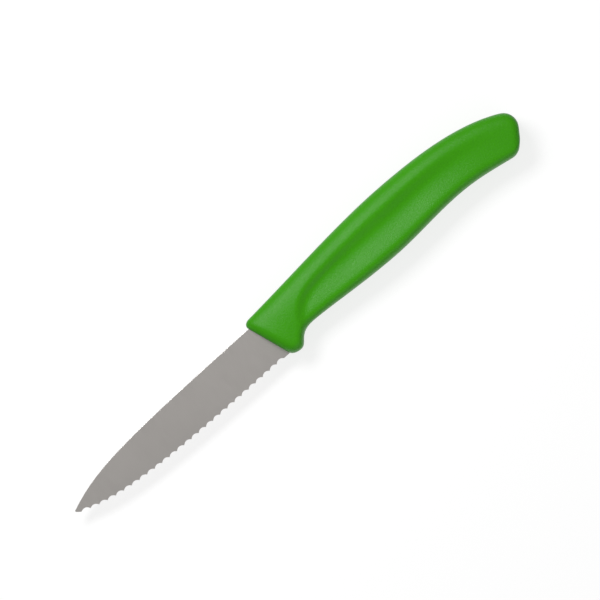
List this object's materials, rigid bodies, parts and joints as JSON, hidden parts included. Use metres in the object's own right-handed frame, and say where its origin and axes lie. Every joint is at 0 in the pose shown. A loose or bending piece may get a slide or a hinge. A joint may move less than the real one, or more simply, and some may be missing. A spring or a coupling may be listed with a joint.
{
  "type": "paring knife",
  "caption": "Small kitchen knife with a wavy-edged pointed steel blade, its hidden tang held in a contoured plastic handle with a finger guard, side hollows and a slanted butt.",
  "frame": {"origin": "centre of the underside of the bounding box: the knife lies flat on its right side on Z = 0", "axes": "+X from the blade's tip to the handle's butt, +Y from the cutting edge to the spine, +Z out of the left side of the blade"},
  "size_m": [0.1882, 0.0228, 0.0124],
  "materials": {
    "steel": "satin ground stainless steel",
    "plastic": "green moulded polypropylene with a fine matt grain"
  },
  "bodies": {
    "root": {"blade": "steel", "handle": "plastic"}
  },
  "joints": []
}
